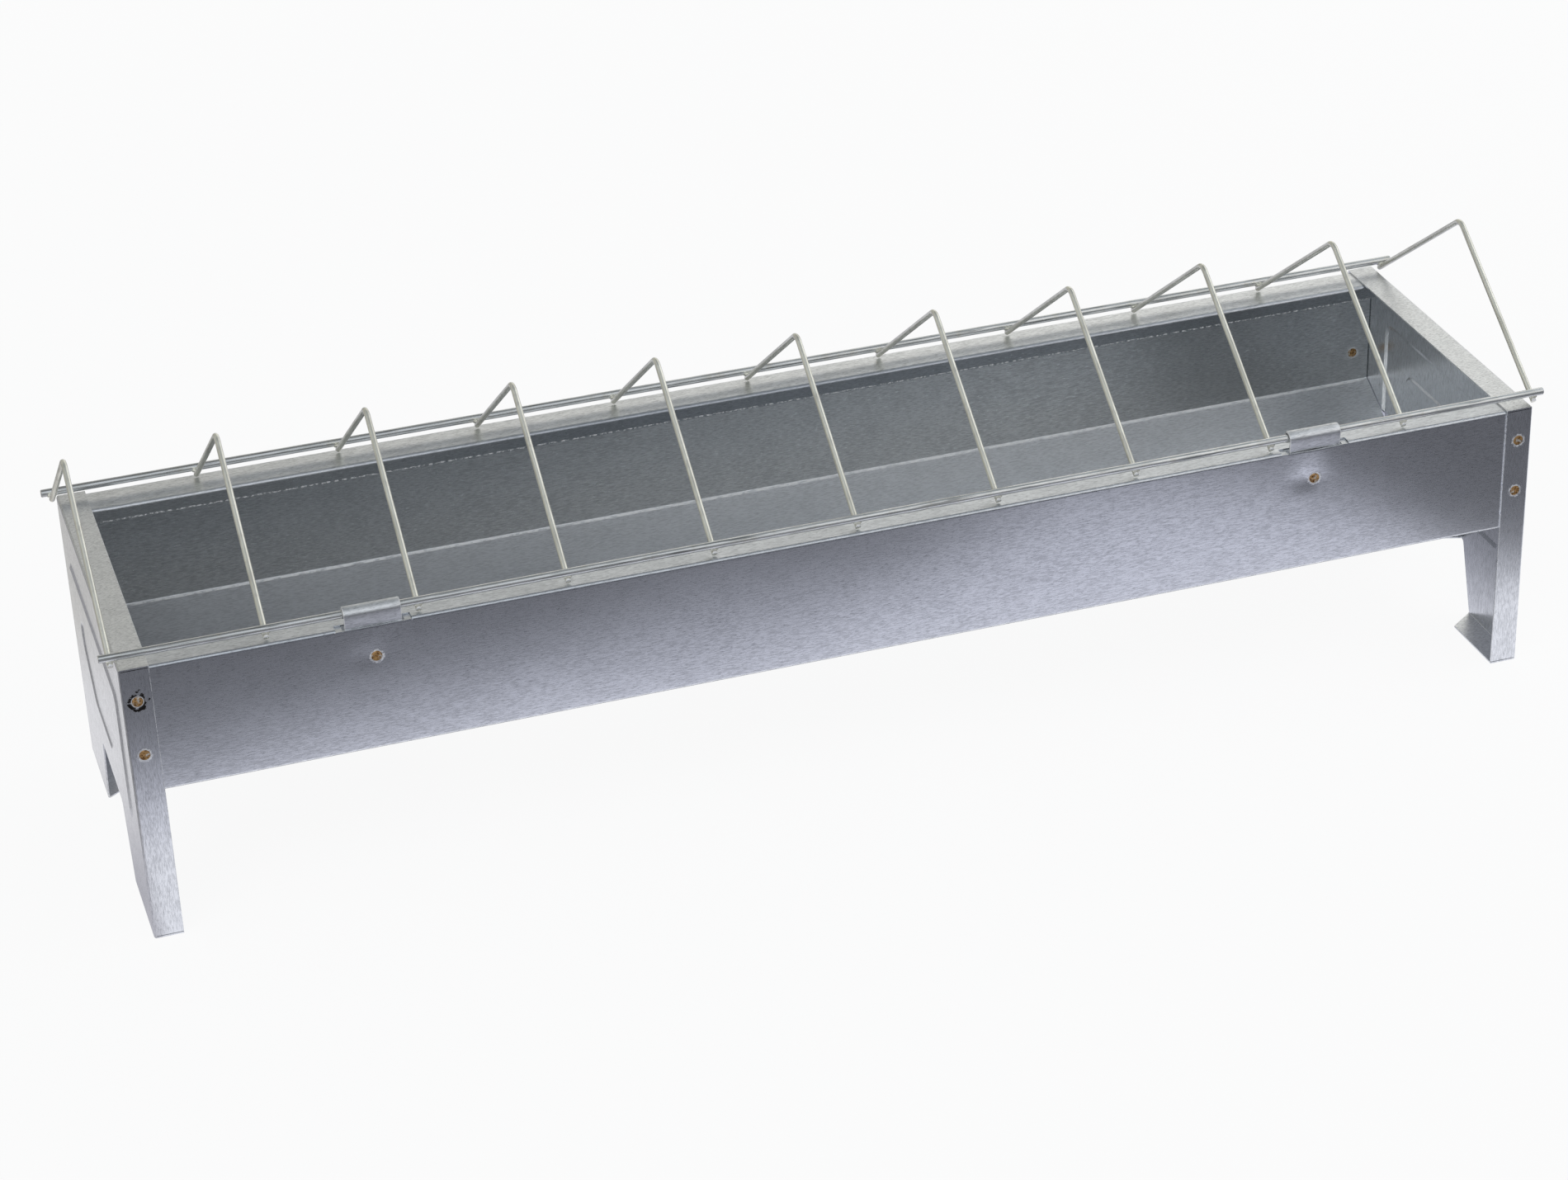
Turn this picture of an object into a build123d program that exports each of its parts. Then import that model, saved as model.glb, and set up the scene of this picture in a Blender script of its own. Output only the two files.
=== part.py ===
from build123d import *
import os
from math import atan, cos, degrees, radians, sin, tan

# Trough feeder for poultry: a folded sheet trough between two stamped end panels that are also
# its legs, with a wire grille hinged in two clips on the front rim.
# Millimetres. X runs along the trough, the grille's hinge is on the front (-Y) side, +Z is up,
# and the origin is on the floor at the middle of the trough.

# Trough, over everything but the grille
length = 750.0
width = 192.0
height = 154.0
sheet = 0.8

# Trough pan, one folded sheet
shoulder_height = 84.0       # fold between the upright wall and the sloping side
bottom_height = 42.0         # underside of the flat bottom
bottom_width = 44.0
rim_width = 20.5
rim_lip = 8.0
pan_bend = 0.8               # inside radius of the pan's folds

# End panels
flange = 15.0                # depth of every flange, tab and lip that is bent inward
panel_bend = 0.4             # inside radius of the panels' folds
fold_relief = 0.4            # slit between two neighbouring flanges
leg_foot_width = 53.0
leg_top_width = 65.0
cutout_radius = 2.0
tab_clip = 10.0              # how far a tab's free corner is cut back

# Fields pressed into each end panel: the outer one outward, the inner one back inward
outer_field_width = 149.0
outer_field_top = 129.0
outer_field_bottom = 54.0
outer_field_rise = 0.9
outer_field_slope = 2.5      # width of the sloping edge
inner_field_width = 98.0
inner_field_top = 108.0
inner_field_shoulder = 91.0
inner_field_bottom = 69.0
inner_field_floor_width = 50.0
inner_field_depth = 0.7
inner_field_slope = 1.2
field_corner = 9.0

# Grille
rail_diameter = 4.0
wire_diameter = 3.0
wire_count = 11
end_wire_reach = 2.5         # outermost wires beyond the ends of the trough
wire_slope = 36.0            # degrees, of both legs of each wire
wire_top_bend = 6.5          # radius of the wire's centre line over the ridge
wire_stub = 3.5              # wire left beyond its weld on a rail
weld_sink = 0.3              # how far a rail and a wire are pressed into each other
rail_overhang = 5.5          # rail left beyond the outermost wire
rail_chamfer = 0.4
rest_gap = 0.3               # between the wire stubs and the rims when the grille is shut

# Hinge clips
clip_spacing = length * 2 / 3
clip_width = 28.5
clip_thickness = 1.2
clip_clearance = 0.5         # radial, between a clip and the front rail
clip_wrap = 250.0            # degrees that a clip curls round the rail
clip_tail = 9.0              # strap below its spot weld
slot_width = 38.0
slot_depth = 5.3
slot_side_gap = 1.2          # between the strap and the pressed-down ledges beside it
ledge_drop = 0.9
ledge_gap = 0.3

# Spot welds
weld_diameter = 5.5
weld_pit = 0.25              # depth of the electrode's mark on each side
weld_top = 18.5              # upper front weld below the top of the panel
weld_pitch = 30.0
back_weld_top = 16.0
back_weld_pitch = 36.0
back_weld_inset = 3.5        # back welds sit nearer the flange's free edge

# Derived places
half_length = length / 2
half_width = width / 2
pan_half_length = half_length - sheet - panel_bend
pan_half_width = half_width - sheet
pan_inside = pan_half_width - sheet
pan_top = height - sheet
rail_radius = rail_diameter / 2
wire_radius = wire_diameter / 2
wire_offset = rail_radius + wire_radius - weld_sink
slope = radians(wire_slope)
clip_inner_radius = rail_radius + clip_clearance
rail_y = pan_inside - clip_thickness - clip_inner_radius
stub_reach = (wire_offset + wire_radius) * cos(slope) + wire_stub * sin(slope)
rail_z = pan_top + rest_gap + stub_reach
ridge_z = rail_z + rail_y * tan(slope) - wire_offset / cos(slope)
wire_pitch = (length + 2 * end_wire_reach) / (wire_count - 1)
rail_length = length + 2 * (end_wire_reach + rail_overhang)
weld_heights = [height - weld_top, height - weld_top - weld_pitch]
back_weld_heights = [height - back_weld_top, height - back_weld_top - back_weld_pitch]
weld_x = half_length - flange / 2
cutout_top = bottom_height - sheet
lip_half_width = half_width - leg_top_width - cutout_radius
lip_root = cutout_top + 2 * (panel_bend + sheet)


def rounded_polygon(points, radius):
    face = make_face(Polyline(*points, close=True))
    return fillet(face.vertices(), radius)


def block(x, y, z):
    """A box between two corners, each given as a pair per axis."""
    size = [high - low for low, high in (x, y, z)]
    middle = [(high + low) / 2 for low, high in (x, y, z)]
    return Pos(*middle) * Box(*size)


def weld_bore(x, z, side, y_out, y_in):
    """A round plug across a wall at height z; side is -1 at the front and 1 at the back."""
    plug = Cylinder(weld_diameter / 2, y_out - y_in)
    return Pos(x, side * (y_out + y_in) / 2, z) * Rot(90, 0, 0) * plug


def end_weld_places(end):
    """Centre and side of each spot weld that joins an end panel to the pan."""
    front = [(end * weld_x, z, -1) for z in weld_heights]
    back = [(end * (weld_x - back_weld_inset), z, 1) for z in back_weld_heights]
    return front + back


def clip_weld_places():
    return [(end * clip_spacing / 2, weld_heights[0], -1) for end in (-1, 1)]


def pan_section():
    """The folded sheet's section: lips, rims, upright walls, sloping sides and flat bottom."""
    rim_edge = pan_half_width - rim_width
    half = [
        (rim_edge, pan_top - rim_lip),
        (rim_edge, pan_top),
        (pan_half_width, pan_top),
        (pan_half_width, shoulder_height),
        (bottom_width / 2, bottom_height),
    ]
    outside = half + [(-y, z) for y, z in reversed(half)]
    fold = FilletPolyline(*outside, radius=pan_bend + sheet)
    return make_face(fold.wire().offset_2d(-sheet, side=Side.RIGHT, closed=True))


def clip_slot(x):
    """The notch in the front rim, and in its middle the way through for a clip's strap."""
    back = -pan_half_width + slot_depth
    half = clip_width / 2 + slot_side_gap
    notch = block(
        (x - slot_width / 2, x + slot_width / 2), (-pan_half_width, back), (pan_top - ledge_drop, pan_top)
    )
    way = block((x - half, x + half), (-pan_inside, back), (pan_top - sheet - pan_bend, pan_top))
    return notch + way


def clip_ledges(x):
    """The strips of rim beside the strap, pressed down into the notch."""
    inner = clip_width / 2 + slot_side_gap
    outer = slot_width / 2 - ledge_gap
    deep = (-pan_half_width, -pan_half_width + slot_depth - ledge_gap)
    up = (pan_top - ledge_drop - sheet, pan_top - ledge_drop)
    return block((x - outer, x - inner), deep, up) + block((x + inner, x + outer), deep, up)


def trough_pan():
    pan = extrude(Plane.YZ * pan_section(), amount=pan_half_length, both=True)
    for end in (-1, 1):
        x = end * clip_spacing / 2
        pan = pan - clip_slot(x) + clip_ledges(x)
        for place in end_weld_places(end):
            pan -= weld_bore(*place, pan_half_width, pan_inside)
    for place in clip_weld_places():
        pan -= weld_bore(*place, pan_half_width, pan_inside)
    return pan


def panel_shell():
    """The left panel as a shallow tray: an upright face with a flange bent inward on each side."""
    face_x = -half_length
    free_x = face_x + flange
    body = block((face_x, free_x), (-half_width, half_width), (0, height))
    body = fillet(body.faces().sort_by(Axis.X)[0].edges(), panel_bend + sheet)
    hollow = block(
        (face_x + sheet, free_x + flange),
        (-half_width + sheet, half_width - sheet),
        (sheet, height - sheet),
    )
    hollow = fillet(hollow.faces().sort_by(Axis.X)[0].edges(), panel_bend)
    return body - hollow


def leg_cutout():
    """What is cut away between the legs, wider at the floor than at the top."""
    foot = half_width - leg_foot_width
    top = half_width - leg_top_width
    flare = (foot - top) / cutout_top
    low = -flange
    half = [(foot - flare * low, low), (top, cutout_top)]
    points = half + [(-y, z) for y, z in reversed(half)]
    outline = Plane.YZ * rounded_polygon(points, cutout_radius)
    return Pos(-half_length, 0, 0) * extrude(outline, amount=2 * flange, both=True)


def bottom_lip():
    """The tongue under the pan's flat bottom, bent inward from the top edge of the cut-out."""
    face_x = -half_length
    bend_x = face_x + panel_bend + sheet
    free_x = face_x + flange
    tip = lip_half_width - tab_clip / 2
    fold = FilletPolyline(
        (face_x, lip_root), (face_x, cutout_top), (free_x, cutout_top), radius=panel_bend + sheet
    )
    section = make_face(fold.wire().offset_2d(sheet, side=Side.LEFT, closed=True))
    half = [(face_x, lip_half_width), (bend_x, lip_half_width), (free_x, tip)]
    outline = Polyline(*half, *[(x, -y) for x, y in reversed(half)], close=True)
    plan = Pos(0, 0, cutout_top) * extrude(make_face(outline), amount=lip_root - cutout_top)
    return extrude(Plane.XZ * section, amount=lip_half_width, both=True) & plan


def tab_corners():
    """The corners cut off the two foot tabs beside the cut-out."""
    foot = half_width - leg_foot_width
    tip_x = -half_length + flange
    root_x = -half_length + panel_bend + sheet
    inner = foot - tab_clip
    corner = Polyline(
        (root_x, foot), (tip_x, foot + tab_clip), (tip_x, inner), (root_x, inner), close=True
    )
    wedge = extrude(make_face(corner), amount=sheet)
    return wedge + mirror(wedge, Plane.XZ)


def fold_reliefs():
    """The slits that part the front and back flanges from the top flange and the foot tabs."""
    cuts = []
    inside_x = -half_length + panel_bend + sheet
    for z in (sheet, height - sheet - fold_relief):
        for y in (-half_width, half_width - sheet):
            cuts.append(block((inside_x, -half_length + flange), (y, y + sheet), (z, z + fold_relief)))
    return cuts


def pressed_field(outline, x, way, rise, edge):
    """A plateau that stands out of the plane at x, toward +X or -X, with sloping edges."""
    toward = Plane(origin=(x, 0, 0), x_dir=(0, way, 0), z_dir=(way, 0, 0))
    return extrude(toward * outline, amount=rise, taper=degrees(atan(edge / rise)))


def press_outward(panel, outline, x, rise, edge):
    """Presses a field out of the left panel; the sheet keeps its thickness behind it."""
    field = pressed_field(outline, x, -1, rise, edge)
    return panel + field - Pos(sheet, 0, 0) * field


def press_inward(panel, outline, x, depth, edge):
    """Presses a field into the left panel; the sheet keeps its thickness behind it."""
    field = pressed_field(outline, x, 1, depth, edge)
    return panel - field + Pos(sheet, 0, 0) * field


def end_panel():
    """The left end panel with its flanges, legs, feet, bottom lip and pressed fields."""
    panel = panel_shell() - leg_cutout() - tab_corners() - fold_reliefs()
    lip_bed = block(
        (-half_length, -half_length + sheet), (-lip_half_width, lip_half_width), (cutout_top, lip_root)
    )
    panel = panel - lip_bed + bottom_lip()
    y = outer_field_width / 2
    half = [(y, outer_field_bottom), (y, outer_field_top)]
    outer = rounded_polygon(half + [(-y, z) for y, z in reversed(half)], field_corner)
    panel = press_outward(panel, outer, -half_length, outer_field_rise, outer_field_slope)
    y = inner_field_width / 2
    half = [
        (inner_field_floor_width / 2, inner_field_bottom),
        (y, inner_field_shoulder),
        (y, inner_field_top),
    ]
    inner = rounded_polygon(half + [(-y, z) for y, z in reversed(half)], field_corner)
    plateau = -half_length - outer_field_rise
    panel = press_inward(panel, inner, plateau, inner_field_depth, inner_field_slope)
    for place in end_weld_places(-1):
        panel -= weld_bore(*place, half_width, pan_half_width)
    return panel


def hinge_clip(x):
    """A strap welded inside the front wall, curled over the front rail."""
    middle = clip_inner_radius + clip_thickness / 2
    foot = weld_heights[0] - clip_tail
    stem = Line((-rail_y - middle, foot), (-rail_y - middle, rail_z))
    curl = CenterArc((-rail_y, rail_z), middle, 180, -clip_wrap)
    path = Wire([stem, curl])
    section = make_face(path.offset_2d(clip_thickness / 2, side=Side.BOTH))
    clip = Pos(x, 0, 0) * extrude(Plane.YZ * section, amount=clip_width / 2, both=True)
    return clip - weld_bore(x, weld_heights[0], -1, pan_inside, pan_inside - clip_thickness)


def rail(y):
    """A straight rod along X."""
    rod = Rot(0, 90, 0) * Cylinder(rail_radius, rail_length)
    return Pos(0, y, rail_z) * chamfer(rod.edges().filter_by(GeomType.CIRCLE), rail_chamfer)


def grille_wire(x, rails):
    """One wire of the grille: up from the front rail, over the ridge and down to the back rail."""
    leg = (rail_y * cos(slope) + (ridge_z - rail_z) * sin(slope)) + wire_stub
    foot_y = leg * cos(slope)
    foot_z = ridge_z - leg * sin(slope)
    line = FilletPolyline((-foot_y, foot_z), (0, ridge_z), (foot_y, foot_z), radius=wire_top_bend)
    path = Plane.YZ * line
    start = Plane(origin=path @ 0, z_dir=path % 0)
    wire = sweep(start * Circle(wire_radius), path=path)
    for rod in rails:
        wire -= Pos(-x, 0, 0) * rod
    return Pos(x, 0, 0) * wire


def spot_welds(places, y_out, y_in):
    """Weld nuggets that fill their bores, short of both faces by the electrode's mark."""
    return Compound(children=[weld_bore(*place, y_out - weld_pit, y_in + weld_pit) for place in places])


def nodes():
    """Each sub-part by its node name."""
    left_panel = end_panel()
    rails = [rail(-rail_y), rail(rail_y)]
    parts = {
        "trough_pan": trough_pan(),
        "left_end_panel": left_panel,
        "right_end_panel": mirror(left_panel, Plane.YZ),
        "left_hinge_clip": hinge_clip(-clip_spacing / 2),
        "right_hinge_clip": hinge_clip(clip_spacing / 2),
        "left_spot_welds": spot_welds(end_weld_places(-1), half_width, pan_inside),
        "right_spot_welds": spot_welds(end_weld_places(1), half_width, pan_inside),
        "clip_spot_welds": spot_welds(clip_weld_places(), pan_half_width, pan_inside - clip_thickness),
        "front_rail": rails[0],
        "back_rail": rails[1],
    }
    for i in range(wire_count):
        x = (i - (wire_count - 1) / 2) * wire_pitch
        parts[f"grille_wire_{i + 1:02d}"] = grille_wire(x, rails)
    return parts


os.makedirs("parts", exist_ok=True)
for name, shape in nodes().items():
    export_step(shape, f"parts/{name}.step")
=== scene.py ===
"""Trough feeder for poultry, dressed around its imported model.

The sheet parts are hot-dip galvanised steel, the grille is zinc-plated wire. Lengths are metres.
X runs along the trough, the grille's hinge is at the front (-Y), Z is up, the floor is Z = 0.
"""
import math

import bmesh
import bpy
import numpy as np
from mathutils import Matrix, Vector


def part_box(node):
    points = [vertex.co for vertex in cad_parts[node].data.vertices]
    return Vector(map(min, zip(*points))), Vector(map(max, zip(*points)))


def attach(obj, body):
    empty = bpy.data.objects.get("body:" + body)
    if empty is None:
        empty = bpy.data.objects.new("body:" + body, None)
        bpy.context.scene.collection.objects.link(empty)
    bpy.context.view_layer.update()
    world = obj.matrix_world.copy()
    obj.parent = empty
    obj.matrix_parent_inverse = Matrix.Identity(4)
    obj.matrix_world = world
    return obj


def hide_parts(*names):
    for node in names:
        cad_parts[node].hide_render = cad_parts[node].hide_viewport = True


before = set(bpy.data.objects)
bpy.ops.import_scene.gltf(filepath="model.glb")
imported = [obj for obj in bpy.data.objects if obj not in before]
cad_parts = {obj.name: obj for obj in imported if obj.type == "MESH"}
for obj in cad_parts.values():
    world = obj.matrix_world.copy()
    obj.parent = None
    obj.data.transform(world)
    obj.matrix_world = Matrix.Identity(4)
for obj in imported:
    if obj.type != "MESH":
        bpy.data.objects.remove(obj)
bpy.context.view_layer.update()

MM = 0.001


# ---------------------------------------------------------------- helpers

def linear(code):
    """Linear RGBA of an sRGB hex colour."""
    c = np.array([int(code[i:i + 2], 16) / 255 for i in (1, 3, 5)])
    c = np.where(c <= 0.04045, c / 12.92, ((c + 0.055) / 1.055) ** 2.4)
    return (*c.tolist(), 1.0)


def add(tree, kind, links=(), out=0, **settings):
    """Adds a shader node and gives one of its outputs. settings are its attributes. links are its
    inputs, in order or by number or name, each a value or the output of another node."""
    node = tree.nodes.new("ShaderNode" + kind)
    for name, value in settings.items():
        setattr(node, name, value)
    if not isinstance(links, dict):
        links = dict(enumerate(links))
    for name, value in links.items():
        if isinstance(value, bpy.types.NodeSocket):
            tree.links.new(value, node.inputs[name])
        else:
            node.inputs[name].default_value = value
    return node.outputs[out] if node.outputs else None


# Settings of nodes. A Map Range takes [value, start, end, low, high] and goes from low at start to
# high at end; without low and high it goes from 0 to 1. A Mix takes {0: share, 6: a, 7: b} and
# gives a where the share is 0.
SMOOTH = {"interpolation_type": "SMOOTHSTEP"}
COLOURS = {"data_type": "RGBA", "out": 2}
TINTED = {"data_type": "RGBA", "blend_type": "MULTIPLY", "out": 2}
VECTORS = {"data_type": "VECTOR", "out": 1}


def per(*spacing):
    """One unit per spacing, which is given for each axis."""
    return tuple(1 / s for s in spacing)


def new_material(name):
    """An empty material, its tree, and the Object coordinates that it reads."""
    material = bpy.data.materials.new(name)
    material.use_nodes = True
    tree = material.node_tree
    tree.nodes.clear()
    return material, tree, add(tree, "TexCoord", out="Object")


def smooth_object(mesh, material):
    """An object in the scene for a finished mesh, with smooth faces."""
    mesh.materials.append(material)
    mesh.polygons.foreach_set("use_smooth", np.ones(len(mesh.polygons), bool))
    mesh.update()
    made = bpy.data.objects.new(mesh.name, mesh)
    bpy.context.scene.collection.objects.link(made)
    return made


def make_piece(name, points, faces, material, body, replaced):
    """A finished mesh piece that rides on a body and may stand for replaced nodes."""
    mesh = bpy.data.meshes.new(name)
    mesh.from_pydata(points.tolist(), [], [list(f) for f in faces])
    piece = smooth_object(mesh, material)
    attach(piece, body)
    if replaced:
        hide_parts(*replaced)


# ---------------------------------------------------------------- places on the trough

SHEET = 0.8 * MM
STRAP = 1.2 * MM
WALL_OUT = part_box("trough_pan")[1].y
WALL_IN = WALL_OUT - SHEET
PANEL_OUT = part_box("left_end_panel")[1].y
PAN_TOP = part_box("trough_pan")[1].z
LIP_EDGE = PAN_TOP - 8 * MM          # free edge of the lips under the rims
LIP_BEND = (77.2 * MM, 76.5 * MM)    # where a rim starts to bend down into its lip
SHOULDER = 84 * MM                   # fold between a wall and a sloping side
PANEL_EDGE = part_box("right_end_panel")[0].x
CLIP_LOW, CLIP_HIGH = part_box("right_hinge_clip")
CLIP_X = (CLIP_LOW.x + CLIP_HIGH.x) / 2
CLIP_HALF = (CLIP_HIGH.x - CLIP_LOW.x) / 2
WELD_X, WELD_Z = 367.5 * MM, (135.5 * MM, 105.5 * MM)    # welds of the front flanges
BACK_WELD_X, BACK_WELD_Z = 364 * MM, (138 * MM, 102 * MM)
WIRE_SLOPE = math.radians(36)
WIRE_END = 91.6 * MM                 # where the wires' sheared ends start
WIRES = [name for name in sorted(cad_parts) if name.startswith("grille_wire")]


# ---------------------------------------------------------------- materials

ZINC = "#EEF0F2"          # clean hot-dip zinc, a cool pale grey
ZINC_DULL = "#D1D3D5"     # the same, oxidised in the grain
ZINC_BRIGHT = "#F2F2F2"   # freshly sheared or pressed zinc
ZINC_PIT = "#8E9092"      # the same in the bottom of a pit
BURNT_ZINC = "#2E2B2A"    # black round a weld that ran too hot
RIM_SHADE = "#DBDFE6"      # painted shade on the front rim, as a tint that its colour is multiplied by
LIP_SHADE = "#CBCED3"      # painted shade, the same way, on the lips under the rims
SLOPE_SHADE = "#CDCDCE"    # painted shade, the same way, on the sloping sides
ZINC_STAIN = "#CECBC0"    # a dull stain on plated wire
PLATE_PIT = "#77797A"     # steel grey where the plating ran thin
PLATED_METAL = 0.75       # metallic of thin zinc plating, which is duller than bare metal
WORN_METAL = 0.35         # metallic of crushed zinc
CUT_METAL = 0.3           # metallic of the wires' sheared ends

STREAK = 3.4 * MM         # rolling grain, coarser than the real one so that it shows
STREAK_WIDTH = 0.45 * MM
LYING_STREAK = 2 * MM     # the grain on the flanges that lie flat
PLATING_GRIT = 1.3 * MM   # what makes the weld collars ragged
MOTTLE = 11 * MM          # clouds in the zinc
FLAKE = 2.2 * MM          # flakes in which crushed zinc comes off
STAIN = 7 * MM            # stains on plated wire


def weld_distance(tree, place, x, z_middle, z_half, side):
    """Distance in the XZ plane to the nearest of the welds at |x| and z_middle +- z_half: the root
    of the summed squares. A metre is added on the other side of the trough."""
    across = add(tree, "Math", [add(tree, "SeparateXYZ", [place], "X")], operation="ABSOLUTE")
    across = add(tree, "Math", [across, x], operation="SUBTRACT")
    up = add(tree, "Math", [add(tree, "SeparateXYZ", [place], "Z"), z_middle], operation="SUBTRACT")
    up = add(tree, "Math", [up], operation="ABSOLUTE")
    up = add(tree, "Math", [up, z_half], operation="SUBTRACT")
    off = add(tree, "VectorMath", [add(tree, "CombineXYZ", [across, up])], "Value",
              operation="LENGTH")
    other = add(tree, "Math", [add(tree, "SeparateXYZ", [place], "Y"), side], operation="MULTIPLY")
    other = add(tree, "Math", [other, 0.0], operation="LESS_THAN")
    return add(tree, "Math", [off, other], operation="ADD")


def looks_inward(tree, place, axis):
    """1 on faces that look toward the middle of the trough along the axis, 0 on the others."""
    normal = add(tree, "SeparateXYZ", [add(tree, "NewGeometry", out="True Normal")], axis)
    side = add(tree, "Math", [add(tree, "SeparateXYZ", [place], axis)], operation="SIGN")
    outward = add(tree, "Math", [normal, side], operation="MULTIPLY")
    return add(tree, "MapRange", [outward, -0.1, -0.3], **SMOOTH)


def weld_collars(tree, place, welds, ragged):
    """Rings of pressed-out zinc, 3.2 to 4.2 mm round each weld, as the greatest of the rings. The
    ragged length moves their edges and thins them."""
    thin = add(tree, "MapRange", [ragged, -0.5 * MM, 0.3 * MM, 0.9, 0.35], **SMOOTH)
    rings = 0.0
    for weld in welds:
        far = add(tree, "Math", [weld_distance(tree, place, *weld), ragged], operation="ADD")
        ring = add(tree, "MapRange", [far, 4.2 * MM, 3.2 * MM], **SMOOTH)
        ring = add(tree, "Math", [ring, thin], operation="MULTIPLY")
        rings = add(tree, "Math", [rings, ring], operation="MAXIMUM")
    return rings


def burnt_ring(tree, place, middle):
    """A black ring from 3 to 5 mm round the middle of a burnt weld, with a blotted outer edge."""
    off = add(tree, "VectorMath", [place, middle], "Value", operation="DISTANCE")
    blot = add(tree, "TexNoise", {"Vector": place, "Scale": 1 / (2.6 * MM), "Detail": 3.0})
    blot = add(tree, "Math", [blot, 0.5], operation="SUBTRACT")
    blot = add(tree, "Math", [blot, 13 * MM, off], operation="MULTIPLY_ADD")
    outer = add(tree, "MapRange", [blot, 5.2 * MM, 4.4 * MM], **SMOOTH)
    inner = add(tree, "MapRange", [off, 2.9 * MM, 3.4 * MM], **SMOOTH)
    return add(tree, "Math", [outer, inner], operation="MULTIPLY")


def galvanised_sheet(name, grain, axis, welds, worn, satin, scorch=None, painted_shade=None):
    """Temper-rolled hot-dip galvanised sheet: satin zinc whose fine grain runs along the rolling
    direction, as pale streaks and short dark pits.

    grain turns a place into streak units; axis is the one along which the sheet's two skins face
    in and out; welds are (x, z middle, z half, side) of the spot welds, each in a pale rough collar
    of pressed-out zinc; worn gives the folds and sheared edges, where the zinc is crushed to a
    bright bloom; satin is the roughness added to the skins that face out and in; scorch is the
    place of one burnt weld; painted_shade gives shares and tints of painted shade, darker zinc
    where shade falls."""
    material, tree, place = new_material(name)
    inward = looks_inward(tree, place, axis)
    along = grain(tree, place)
    streak = add(tree, "TexNoise", {"Vector": along, "Scale": 1.0, "Detail": 3.0, "Roughness": 0.6})
    squeezed = add(tree, "VectorMath", [along, per(0.7, 0.9, 0.9)], operation="MULTIPLY")
    pit = add(tree, "TexNoise", {"Vector": squeezed, "Scale": 1.0, "Detail": 1.0})
    mottle = add(tree, "TexNoise", {"Vector": place, "Scale": 1 / MOTTLE})
    ragged = add(tree, "TexNoise", {"Vector": place, "Scale": 1 / PLATING_GRIT})
    ragged = add(tree, "Math", [ragged, 0.5], operation="SUBTRACT")
    ragged = add(tree, "Math", [ragged, 1.7 * MM], operation="MULTIPLY")
    bloom = add(tree, "Math", [worn(tree, place), weld_collars(tree, place, welds, ragged)],
                operation="MAXIMUM")

    tone = add(tree, "Mix", {0: 0.14, 2: streak, 3: mottle})
    tone = add(tree, "MapRange", [tone, 0.36, 0.60], **SMOOTH)
    colour = add(tree, "Mix", {0: tone, 6: linear(ZINC_DULL), 7: linear(ZINC)}, **COLOURS)
    shown = add(tree, "MapRange", [inward, 0.0, 1.0, 0.45, 0.1], **SMOOTH)
    pitted = add(tree, "MapRange", [pit, 0.56, 0.72], **SMOOTH)
    pitted = add(tree, "Math", [pitted, shown], operation="MULTIPLY")
    colour = add(tree, "Mix", {0: pitted, 6: colour, 7: linear(ZINC_PIT)}, **COLOURS)
    # painted shade: darker tints multiplied in where the lips, sloping sides and front rim lie in
    # shade
    for share, tint in painted_shade(tree, place) if painted_shade else ():
        colour = add(tree, "Mix", {0: share, 6: colour, 7: linear(tint)}, **TINTED)
    crushed = add(tree, "Math", [bloom, 0.85], operation="MULTIPLY")
    colour = add(tree, "Mix", {0: crushed, 6: colour, 7: linear(ZINC_BRIGHT)}, **COLOURS)

    up = add(tree, "SeparateXYZ", [add(tree, "NewGeometry", out="True Normal")], "Z")
    level = add(tree, "MapRange", [up, 0.5, 0.95, 0.0, 0.12], **SMOOTH)
    skin = add(tree, "MapRange", [inward, 0.0, 1.0, *satin], **SMOOTH)
    rough = add(tree, "MapRange", [streak, 0.3, 0.7, 0.28, 0.21], **SMOOTH)
    rough = add(tree, "Math", [rough, skin], operation="ADD")
    rough = add(tree, "Math", [rough, level], operation="ADD")
    rough = add(tree, "Math", [bloom, 0.2, rough], operation="MULTIPLY_ADD")
    if scorch:
        burnt = burnt_ring(tree, place, scorch)
        colour = add(tree, "Mix", {0: burnt, 6: colour, 7: linear(BURNT_ZINC)}, **COLOURS)
        rough = add(tree, "Math", [burnt, 0.3, rough], operation="MULTIPLY_ADD")

    metal = add(tree, "MapRange", [bloom, 0.0, 1.0, 1.0, WORN_METAL], **SMOOTH)
    depth = add(tree, "MapRange", [inward, 0.0, 1.0, 0.013 * MM, 0.003 * MM], **SMOOTH)
    height = add(tree, "Math", [streak, depth], operation="MULTIPLY")
    height = add(tree, "Math", [bloom, 0.06 * MM, height], operation="MULTIPLY_ADD")
    bump = add(tree, "Bump", {"Height": height, "Distance": 1.0, "Strength": 1.0})
    shader = add(tree, "BsdfPrincipled", {"Base Color": colour, "Metallic": metal,
                                          "Roughness": rough, "Normal": bump})
    add(tree, "OutputMaterial", {"Surface": shader})
    return material


def pan_grain(tree, place):
    """A place in units of streaks that run along the trough."""
    scale = per(STREAK, STREAK_WIDTH, STREAK_WIDTH)
    return add(tree, "VectorMath", [place, scale], operation="MULTIPLY")


def panel_grain(tree, place):
    """A place in units of streaks that run up the legs, or along X on the flanges that lie flat."""
    up = add(tree, "SeparateXYZ", [add(tree, "NewGeometry", out="True Normal")], "Z")
    flat = add(tree, "Math", [up], operation="ABSOLUTE")
    flat = add(tree, "MapRange", [flat, 0.5, 0.6], **SMOOTH)
    upright = add(tree, "VectorMath", [place, per(STREAK_WIDTH, STREAK_WIDTH, STREAK)],
                  operation="MULTIPLY")
    lying = add(tree, "VectorMath", [place, per(LYING_STREAK, STREAK_WIDTH, STREAK_WIDTH)],
                operation="MULTIPLY")
    return add(tree, "Mix", {0: flat, 4: upright, 5: lying}, **VECTORS)


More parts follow.
